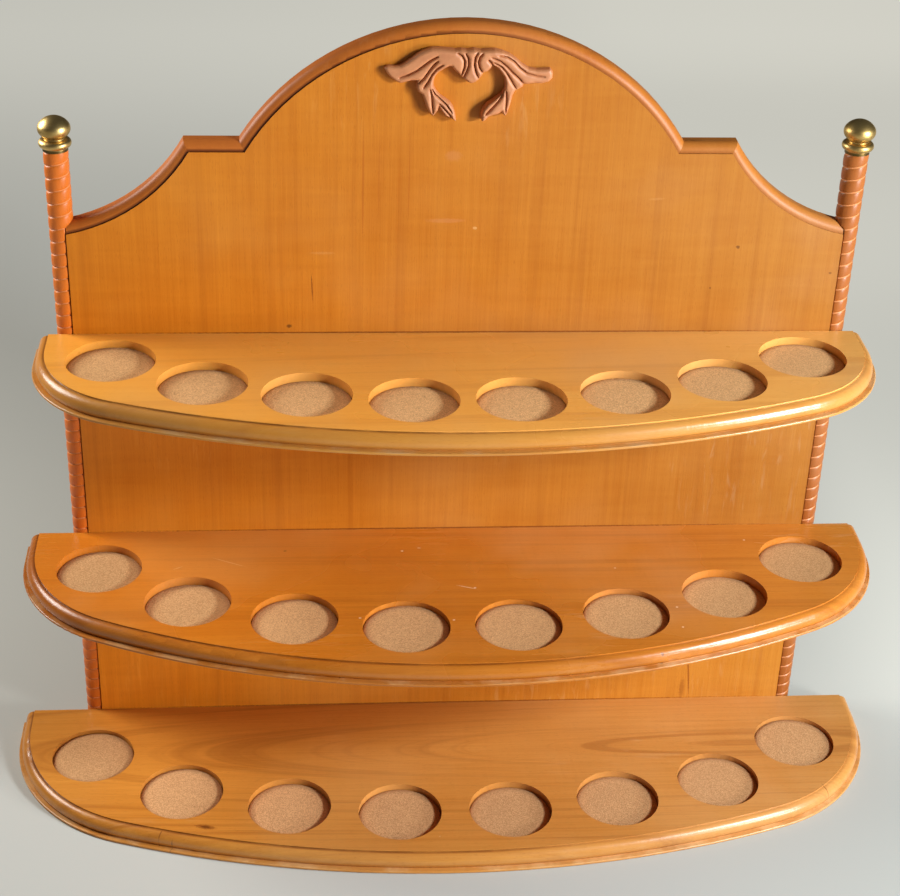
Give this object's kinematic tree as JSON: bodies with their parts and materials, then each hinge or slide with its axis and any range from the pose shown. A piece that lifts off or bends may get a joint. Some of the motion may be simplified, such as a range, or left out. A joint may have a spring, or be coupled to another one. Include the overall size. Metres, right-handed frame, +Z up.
{
  "type": "three-tier spice jar rack",
  "caption": "Free-standing wooden spice jar rack: bow-fronted moulded shelves with round cork-lined jar seats, an arched backboard with a carved ornament, and round posts with brass finials.",
  "frame": {"origin": "centre of the overall box on the surface the rack stands on: z = 0 is the underside of the base shelf, x = 0 the middle of the rack and y = 0 half way between the shelf front and the finials' backs", "axes": "+X to the right as seen from the front, +Y from the front of the shelves to the back of the board, +Z up"},
  "size_m": [0.6154, 0.1872, 0.5281],
  "materials": {
    "board_veneer": "satin clear varnish over amber rippled veneer",
    "shelf_wood": "satin clear varnish over honey-coloured solid wood",
    "post_wood": "satin clear varnish over reddish turned wood",
    "carved_wood": "matt pinkish-brown carved wood",
    "cork": "bare fine-grained cork",
    "brass": "polished and lacquered brass",
    "steel": "zinc-plated steel"
  },
  "bodies": {
    "root": {"backboard": "board_veneer", "carved_applique": "carved_wood", "upper_shelf": "shelf_wood", "middle_shelf": "shelf_wood", "base_shelf": "shelf_wood", "cork_pad_upper_1": "cork", "cork_pad_upper_2": "cork", "cork_pad_upper_3": "cork", "cork_pad_upper_4": "cork", "cork_pad_upper_5": "cork", "cork_pad_upper_6": "cork", "cork_pad_upper_7": "cork", "cork_pad_upper_8": "cork", "cork_pad_middle_1": "cork", "cork_pad_middle_2": "cork", "cork_pad_middle_3": "cork", "cork_pad_middle_4": "cork", "cork_pad_middle_5": "cork", "cork_pad_middle_6": "cork", "cork_pad_middle_7": "cork", "cork_pad_middle_8": "cork", "cork_pad_base_1": "cork", "cork_pad_base_2": "cork", "cork_pad_base_3": "cork", "cork_pad_base_4": "cork", "cork_pad_base_5": "cork", "cork_pad_base_6": "cork", "cork_pad_base_7": "cork", "cork_pad_base_8": "cork", "left_post": "post_wood", "right_post": "post_wood", "left_finial_ball": "brass", "left_finial_collar": "brass", "right_finial_ball": "brass", "right_finial_collar": "brass", "upper_shelf_screws": "steel", "middle_shelf_screws": "steel", "base_shelf_screws": "steel", "left_finial_stud": "steel", "right_finial_stud": "steel"}
  },
  "joints": []
}
